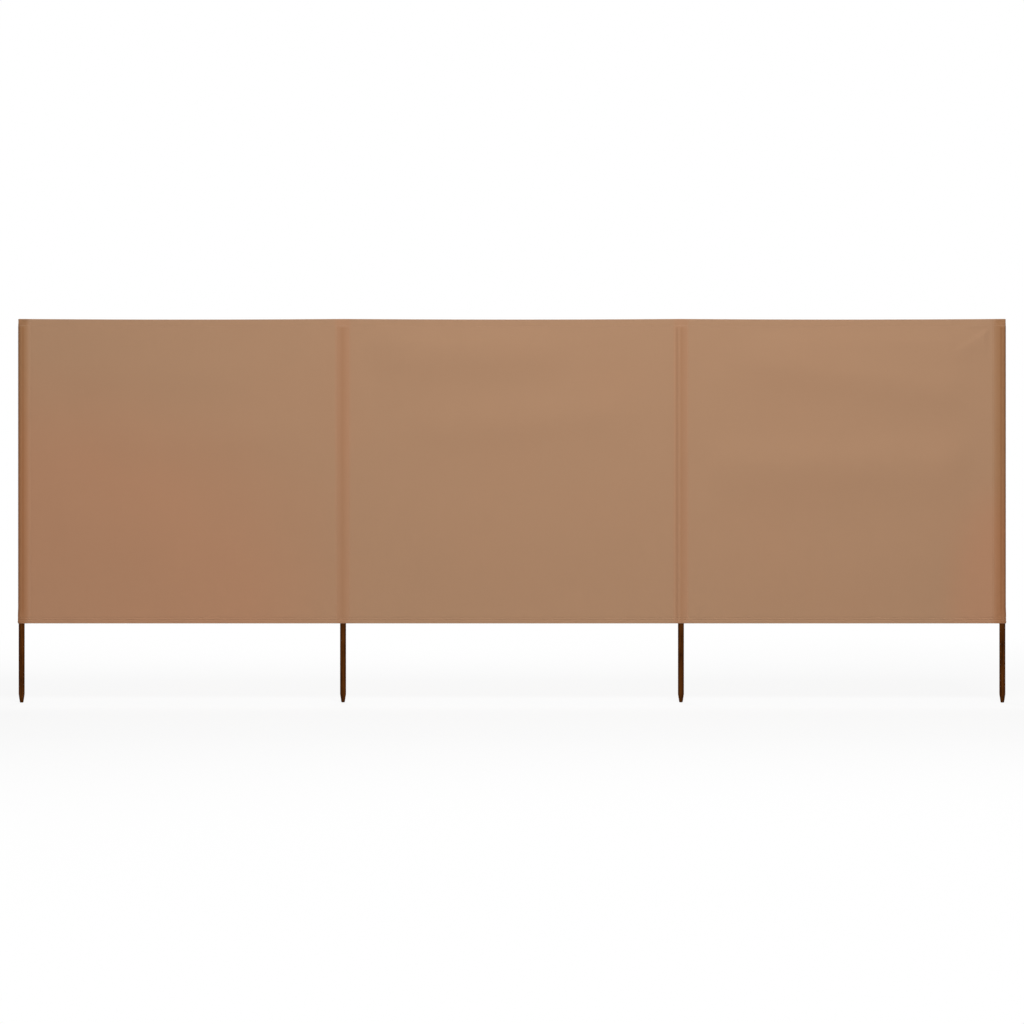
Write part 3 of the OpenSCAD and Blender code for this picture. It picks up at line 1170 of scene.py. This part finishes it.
def pole_rings(poles):
    """Radius and height of the rings of a pole, from the flat tip to the top."""
    tip = poles.tip_width / 2
    chamfer = poles.tip_chamfer
    top = poles.top_chamfer
    out, up = CHAMFER_SHARES
    start = [(tip * TIP_RING_SHARE, 0.0), (tip, 0.0), (tip + chamfer * out, chamfer * up)]
    share = np.linspace(0.0, 1.0, POINT_RINGS + 1)
    turned = np.column_stack([
        tip + chamfer + (POLE_R - tip - chamfer) * share ** POINT_CURVE,
        chamfer + (poles.point_length - chamfer) * share,
    ])
    shaft_z = np.linspace(poles.point_length, POLE_TOP - top, SHAFT_RINGS + 1)[1:]
    shaft = np.column_stack([np.full(len(shaft_z), POLE_R), shaft_z])
    end = [
        (POLE_R - top * up, POLE_TOP - top * up), (POLE_R - top, POLE_TOP),
        (POLE_R * TOP_RING_SHARE, POLE_TOP),
    ]
    return np.vstack([start, turned, shaft, end])


def pole_piece(name, axis, number, poles, material):
    """One pole: turned point, a shaft that isn't quite true, and a chamfered top."""
    rings = pole_rings(poles)
    count, sides = len(rings), poles.sides
    turn = np.linspace(0.0, 2 * math.pi, sides, endpoint=False)
    radius, height = rings[:, :1], rings[:, 1:]
    phase = POLE_PHASE * number
    uneven = sum(
        share * np.sin(lobes * turn + rate * height + many * phase)
        for lobes, rate, many, share in POLE_WAVES
    )
    uneven /= sum(wave[-1] for wave in POLE_WAVES)
    reach = radius - poles.unevenness * rise((TRUE_SHARE * POLE_R, POLE_R), radius) * (1 + uneven)
    x = axis[0] + reach * np.cos(turn)
    y = axis[1] + reach * np.sin(turn)
    points = np.stack([x, y, np.broadcast_to(height, x.shape)], axis=-1).reshape(-1, 3)
    at = np.arange(count * sides).reshape(count, sides)
    beside = np.roll(at, -1, axis=1)
    quads = np.stack([at[:-1], beside[:-1], beside[1:], at[1:]], axis=-1).reshape(-1, 4)
    foot, crown = len(points), len(points) + 1
    fans = [[foot, int(b), int(a)] for a, b in zip(at[0], beside[0])]
    fans += [[crown, int(a), int(b)] for a, b in zip(at[-1], beside[-1])]
    points = np.vstack([points, [*axis, 0.0], [*axis, POLE_TOP]])
    return smooth_piece(name, points, quads.tolist() + fans, material, POLE_SHARP)


def build_stitches(name):
    """Geometry Nodes tree that lays stitches along the edges of a mesh of sewn rows."""
    inputs = {
        "Rows": "Geometry", "Pitch": "Float", "Length": "Float", "Thread": "Float",
        "Material": "Material",
    }
    tree, given, result = new_group(name, "GeometryNodeTree", inputs, {"Stitches": "Geometry"})
    rows = add_node(tree, "GeometryNodeMeshToCurve", Mesh=given["Rows"])
    # Each row starts and ends half a pitch in, so that rows which meet keep one even pitch
    half = math_node(tree, "MULTIPLY", given["Pitch"], 0.5)
    whole = tree.nodes.new("GeometryNodeSplineLength").outputs["Length"]
    trimmed = add_node(tree, "GeometryNodeTrimCurve", mode="LENGTH", Curve=rows.outputs["Curve"])
    start_length, end_length = trimmed.inputs[4], trimmed.inputs[5]
    feed(tree, start_length, half)
    feed(tree, end_length, math_node(tree, "SUBTRACT", whole, half))
    spaced = add_node(
        tree, "GeometryNodeResampleCurve", mode="LENGTH",
        Curve=trimmed.outputs["Curve"], Length=given["Pitch"],
    )
    sunk = math_node(tree, "MULTIPLY", given["Thread"], STITCH_SINK)
    raised = math_node(tree, "MULTIPLY", given["Thread"], STITCH_RISE)
    ends = [
        add_node(
            tree, "ShaderNodeCombineXYZ", X=math_node(tree, "MULTIPLY", given["Length"], share), Z=sunk
        )
        for share in (-0.5, 0.5)
    ]
    crown = add_node(tree, "ShaderNodeCombineXYZ", Z=raised)
    bend = add_node(
        tree, "GeometryNodeCurveQuadraticBezier", Resolution=STITCH_STEPS,
        Start=ends[0].outputs[0], Middle=crown.outputs[0], End=ends[1].outputs[0],
    )
    section = add_node(
        tree, "GeometryNodeCurvePrimitiveCircle", mode="RADIUS", Resolution=THREAD_SIDES,
        Radius=math_node(tree, "MULTIPLY", given["Thread"], 0.5),
    )
    stitch = add_node(
        tree, "GeometryNodeCurveToMesh", Curve=bend.outputs[0], Profile_Curve=section.outputs[0],
        Fill_Caps=True,
    )
    facing = add_node(
        tree, "GeometryNodeInputNamedAttribute", data_type="FLOAT_VECTOR", Name="facing"
    )
    turned = add_node(
        tree, "FunctionNodeAxesToRotation", primary_axis="X", secondary_axis="Z",
        Primary_Axis=tree.nodes.new("GeometryNodeInputTangent").outputs[0],
        Secondary_Axis=facing.outputs["Attribute"],
    )
    placed = add_node(
        tree, "GeometryNodeInstanceOnPoints", Points=spaced.outputs["Curve"],
        Instance=stitch.outputs["Mesh"], Rotation=turned.outputs["Rotation"],
    )
    real = add_node(tree, "GeometryNodeRealizeInstances", Geometry=placed.outputs["Instances"])
    dressed = add_node(
        tree, "GeometryNodeSetMaterial", Geometry=real.outputs["Geometry"], Material=given["Material"]
    )
    set_node(tree, result, Stitches=dressed.outputs["Geometry"])


def stitch_piece(name, rows, stitching, material):
    """Stitches along sewn rows, as one plain mesh."""
    points, facing, edges = [], [], []
    for row_points, row_facing in rows:
        first = sum(len(part) for part in points)
        edges.extend((first + step, first + step + 1) for step in range(len(row_points) - 1))
        points.append(row_points)
        facing.append(row_facing)
    mesh = bpy.data.meshes.new(name + "_rows")
    mesh.from_pydata(np.vstack(points), edges, [])
    ways = mesh.attributes.new("facing", "FLOAT_VECTOR", "POINT")
    ways.data.foreach_set("vector", np.vstack(facing).ravel().astype(np.float32))
    piece = new_piece(name, mesh)
    values = {
        "Pitch": stitching.pitch, "Length": stitching.length, "Thread": stitching.thread,
        "Material": material,
    }
    modifier = piece.modifiers.new("Stitches", "NODES")
    modifier.node_group = shared_group("Stitch rows", build_stitches)
    for socket in modifier.node_group.interface.items_tree:
        if socket.in_out == "INPUT" and socket.name in values:
            modifier[socket.identifier] = values[socket.name]
    graph = bpy.context.evaluated_depsgraph_get()
    made = bpy.data.meshes.new_from_object(piece.evaluated_get(graph))
    if not made.polygons:
        raise RuntimeError("no stitches were made for " + name)
    piece.modifiers.clear()
    piece.data = made
    made.name = name
    bpy.data.meshes.remove(mesh)
    made.shade_smooth()
    return piece


def stitch_rows(cloth):
    """Sewn rows of each bay: hems, sleeve and pocket, on the front and on the back."""
    sheet, heights, depths, sleeve_count = cloth_sheet(cloth)
    end = sheet.points.shape[1] - 1
    lift = cloth.thickness / 2
    front_rows = np.flatnonzero((depths == 0.0) & (heights > UPRIGHT_START))
    on_panel = sleeve_count - PANEL_COLUMNS

    def hem_row(height, depth, start, stop):
        """Sewn row along a hem, on the layer at this depth."""
        row = int(np.argmin(np.abs(heights - height) + LAYER_WEIGHT * np.abs(depths - depth)))
        return sheet.sewn(row, slice(start, stop + 1), lift)

    sleeve_side = sheet.nearest(LEFT_END[0] + SLEEVE_EDGE + ROW_CLEAR, on_panel)
    pocket_sides = [sheet.nearest(LEFT_X + way * (POCKET_EDGE + ROW_CLEAR)) for way in (-1, 1)]
    back_columns = {
        "left": (sleeve_side, pocket_sides[0]),
        "middle": (pocket_sides[1], end - pocket_sides[1]),
        "right": (end - pocket_sides[0], end - sleeve_side),
    }
    rows = {}
    for side, columns in bay_columns(sheet).items():
        hems = (*BOTTOM_ROWS, TOP_ROW)
        rows[side] = [hem_row(height, 0.0, *columns) for height in hems]
        rows[side] += [hem_row(height, cloth.layer_gap, *back_columns[side]) for height in hems]
    # Upright rows down a sleeve and a pocket, and close rows where the pole is pushed in
    mouth = front_rows[heights[front_rows] < MOUTH_TOP]
    pocket_rows = [sheet.nearest(LEFT_X + way * POCKET_ROW) for way in (-1, 1)]
    sleeve_rows = [SLEEVE_COUNTS[0] // 2, sheet.nearest(LEFT_END[0] + SLEEVE_ROW, on_panel)]
    uprights = [(column, front_rows) for column in sleeve_rows + pocket_rows]
    uprights += [(column + step, mouth) for column in pocket_rows for step in MOUTH_STEPS]
    for column, part in uprights:
        rows["left"].append(sheet.sewn(part, column, lift))
        rows["right"].append(sheet.sewn(part, end - column, lift))
    # A strip's hem is turned to the back, so the rows run on the turned layer there
    left_strip, hem_count, front_start = strip_sheet(cloth)
    turned_up = slice(0, hem_count)
    above_hem = slice(front_start + hem_count, None)
    whole = slice(None)
    edge = STRIP_COUNTS[0] // 2
    for side, strip in (("left", left_strip), ("right", left_strip.mirrored())):
        for column in (edge, strip.points.shape[1] - 1 - edge):
            rows[side] += [strip.sewn(turned_up, column + step, lift) for step in (*MOUTH_STEPS, 0)]
            rows[side].append(strip.sewn(above_hem, column, -lift))
        rows[side].append(strip.sewn(STRIP_ROW, whole, lift))
        rows[side].append(strip.sewn(-1 - STRIP_ROW, whole, -lift))
    return rows


def ride_bay(piece, side):
    """Lets a piece of the middle bay ride on it; a piece of an outer bay keeps its place in its mesh.
    """
    if side == "middle":
        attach(piece, "middle_bay")
        return
    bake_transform(piece)


class WINDBREAK_OT_poles(bpy.types.Operator):
    """Makes the four wooden poles"""

    bl_idname = "windbreak.poles"
    bl_label = "Poles"

    def execute(self, context):
        poles = context.scene.windbreak_poles
        material = pole_material(poles)
        places = (
            ("left_end", LEFT_END, "left_bay"), ("left_inner", LEFT_INNER, "middle_bay"),
            ("right_inner", RIGHT_INNER, "middle_bay"), ("right_end", RIGHT_END, "right_bay"),
        )
        for number, (name, axis, body) in enumerate(places):
            piece = pole_piece(name + "_stake", axis, number, poles, material)
            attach(piece, body)
            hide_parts(name + "_pole")
        return {"FINISHED"}


class WINDBREAK_OT_cloth(bpy.types.Operator):
    """Makes the cloth of the three bays with its hems and end sleeves"""

    bl_idname = "windbreak.cloth"
    bl_label = "Cloth"

    def execute(self, context):
        cloth = context.scene.windbreak_cloth
        material = cloth_material("panel_cloth", cloth, LONG_THREADS, darker=1.0)
        sheet = cloth_sheet(cloth)[0]
        for side, columns in bay_columns(sheet).items():
            part = sheet.columns(*columns)
            piece = sheet_piece(side + "_cloth", part, cloth.thickness, material)
            ride_bay(piece, side)
            nodes = [side + "_panel", side + "_top_hem", side + "_bottom_hem"]
            if side != "middle":
                nodes.append(side + "_end_sleeve")
            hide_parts(*nodes)
            part.flat_size()
        return {"FINISHED"}


class WINDBREAK_OT_pockets(bpy.types.Operator):
    """Makes the strips behind the inner poles"""

    bl_idname = "windbreak.pockets"
    bl_label = "Pockets"

    def execute(self, context):
        cloth = context.scene.windbreak_cloth
        material = cloth_material("pocket_cloth", cloth, CROSS_THREADS, darker=0.97)
        left = strip_sheet(cloth)[0]
        for side, sheet in (("left", left), ("right", left.mirrored())):
            piece = sheet_piece(side + "_pocket_strip", sheet, cloth.thickness, material)
            ride_bay(piece, side)
            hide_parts(side + "_inner_pocket")
            sheet.flat_size()
        return {"FINISHED"}


class WINDBREAK_OT_stitching(bpy.types.Operator):
    """Makes the sewn rows of the hems, sleeves and pockets"""

    bl_idname = "windbreak.stitching"
    bl_label = "Stitching"

    def execute(self, context):
        stitching = context.scene.windbreak_stitching
        material = thread_material(stitching.colour)
        for side, rows in stitch_rows(context.scene.windbreak_cloth).items():
            piece = stitch_piece(side + "_stitching", rows, stitching, material)
            ride_bay(piece, side)
        return {"FINISHED"}


class WINDBREAK_OT_stage(bpy.types.Operator):
    """Makes the floor, the lamps, the world and the camera"""

    bl_idname = "windbreak.stage"
    bl_label = "Stage"

    def execute(self, context):
        stage = context.scene.windbreak_stage
        context.scene.view_settings.view_transform = "Standard"
        make_world(context.scene)
        make_floor(stage)
        for name, setting, place, target, size in LAMPS:
            soft_lamp(name, place, target, size, getattr(stage, setting))
        make_camera(context.scene, stage)
        return {"FINISHED"}


def background_mix(tree, plain, white, white_share):
    """Plain shader, with a share of white for camera, glossy and transmission rays."""
    path = tree.nodes.new("ShaderNodeLightPath").outputs
    seen = math_node(tree, "MAXIMUM", path["Is Camera Ray"], path["Is Glossy Ray"])
    seen = math_node(tree, "MAXIMUM", seen, path["Is Transmission Ray"])
    pick = tree.nodes.new("ShaderNodeMixShader")
    feed(tree, pick.inputs[0], math_node(tree, "MULTIPLY", seen, white_share))
    feed(tree, pick.inputs[1], plain.outputs[0])
    feed(tree, pick.inputs[2], white.outputs[0])
    return pick.outputs[0]


def make_world(scene):
    """White background, with a weaker even light on the object."""
    world = bpy.data.worlds.new("studio")
    scene.world = world
    world.use_nodes = True
    tree = world.node_tree
    tree.nodes.clear()
    even = add_node(tree, "ShaderNodeBackground", Color=WHITE, Strength=EVEN_LIGHT)
    white = add_node(tree, "ShaderNodeBackground", Color=WHITE, Strength=1.0)
    add_node(tree, "ShaderNodeOutputWorld", Surface=background_mix(tree, even, white, 1.0))


def make_floor(stage):
    """Plain pale floor that fades into the white background and keeps a faint shadow."""
    corners = [(x * FLOOR_REACH, y * FLOOR_REACH, 0.0) for x, y in ((-1, -1), (1, -1), (1, 1), (-1, 1))]
    mesh = bpy.data.meshes.new("floor")
    mesh.from_pydata(corners, [], [(0, 1, 2, 3)])
    material, tree, shader, place = new_material("plain_floor")
    uneven = uneven_node(tree, place, patches=0.8, streaks=(40.0, 40.0, 40.0))
    tone = weighted(tree, 1.0, (uneven, "Patches", 0.01), (uneven, "Streaks", 0.01))
    set_node(
        tree, shader, Base_Color=mix_colour(tree, "MULTIPLY", 1.0, stage.floor_colour, tone),
        Roughness=0.9, Specular_IOR_Level=0.0,
    )
    # Near the object the floor takes its shadow, and further off it is as white as the background
    away = add_node(tree, "ShaderNodeVectorMath", operation="DISTANCE")
    feed(tree, away.inputs[0], place)
    feed(tree, away.inputs[1], (MIDDLE_X, 0.0, 0.0))
    fade = add_node(
        tree, "ShaderNodeMapRange", interpolation_type="SMOOTHSTEP", Value=away.outputs["Value"],
        From_Min=FLOOR_FADE[0], From_Max=FLOOR_FADE[1], To_Min=FLOOR_WHITE, To_Max=1.0,
    )
    white = add_node(tree, "ShaderNodeEmission", Color=WHITE, Strength=1.0)
    mixed = background_mix(tree, shader, white, fade.outputs["Result"])
    set_node(tree, tree.nodes["Material Output"], Surface=mixed)
    mesh.materials.append(material)
    new_piece("floor", mesh)


def aim(thing, place, target):
    """Puts a lamp or camera at a place and turns it to a target."""
    thing.location = place
    thing.rotation_euler = (Vector(target) - Vector(place)).to_track_quat("-Z", "Y").to_euler()


def soft_lamp(name, place, target, size, power):
    """Square area lamp, placed and aimed from the middle of the floor."""
    light = bpy.data.lights.new(name, "AREA")
    light.shape = "SQUARE"
    light.size = size
    light.energy = power
    middle = Vector((MIDDLE_X, 0.0, 0.0))
    aim(new_piece(name, light), middle + Vector(place), middle + Vector(target))


def make_camera(scene, stage):
    """Level camera square to the cloth, as in the photograph."""
    camera = bpy.data.cameras.new("camera")
    camera.lens = stage.lens
    camera.sensor_width = SENSOR_W
    camera.clip_end = VIEW_REACH
    piece = new_piece("camera", camera)
    place = (MIDDLE_X, PANEL_Y - stage.camera_distance, stage.camera_height)
    aim(piece, place, (MIDDLE_X, PANEL_Y, stage.camera_height))
    scene.camera = piece


class WINDBREAK_PT_panel(bpy.types.Panel):
    """Lists the steps that build the windbreak"""

    bl_idname = "WINDBREAK_PT_panel"
    bl_label = "Beach windbreak"
    bl_space_type = "VIEW_3D"
    bl_region_type = "UI"
    bl_category = "Windbreak"

    def draw(self, context):
        for operator, settings in STEPS:
            self.layout.operator(operator.bl_idname)
            group = getattr(context.scene, settings)
            for prop in group.bl_rna.properties:
                if prop.identifier in type(group).__annotations__:
                    self.layout.prop(group, prop.identifier)


SETTINGS = (
    ("windbreak_poles", WindbreakPoles),
    ("windbreak_cloth", WindbreakCloth),
    ("windbreak_stitching", WindbreakStitching),
    ("windbreak_stage", WindbreakStage),
)
STEPS = (
    (WINDBREAK_OT_poles, "windbreak_poles"),
    (WINDBREAK_OT_cloth, "windbreak_cloth"),
    (WINDBREAK_OT_pockets, "windbreak_cloth"),
    (WINDBREAK_OT_stitching, "windbreak_stitching"),
    (WINDBREAK_OT_stage, "windbreak_stage"),
)
CLASSES = [group for _, group in SETTINGS] + [step for step, _ in STEPS] + [WINDBREAK_PT_panel]


def register():
    """Registers the settings, the operators and the panel."""
    for cls in CLASSES:
        bpy.utils.register_class(cls)
    for name, group in SETTINGS:
        setattr(bpy.types.Scene, name, PointerProperty(type=group))


def unregister():
    """Takes the panel, the operators and the settings away again."""
    for name, _ in SETTINGS:
        delattr(bpy.types.Scene, name)
    for cls in reversed(CLASSES):
        bpy.utils.unregister_class(cls)


def main():
    """Builds the windbreak on the frame."""
    register()
    bpy.ops.windbreak.poles()
    bpy.ops.windbreak.cloth()
    bpy.ops.windbreak.pockets()
    bpy.ops.windbreak.stitching()
    bpy.ops.windbreak.stage()


if __name__ == "__main__":
    main()
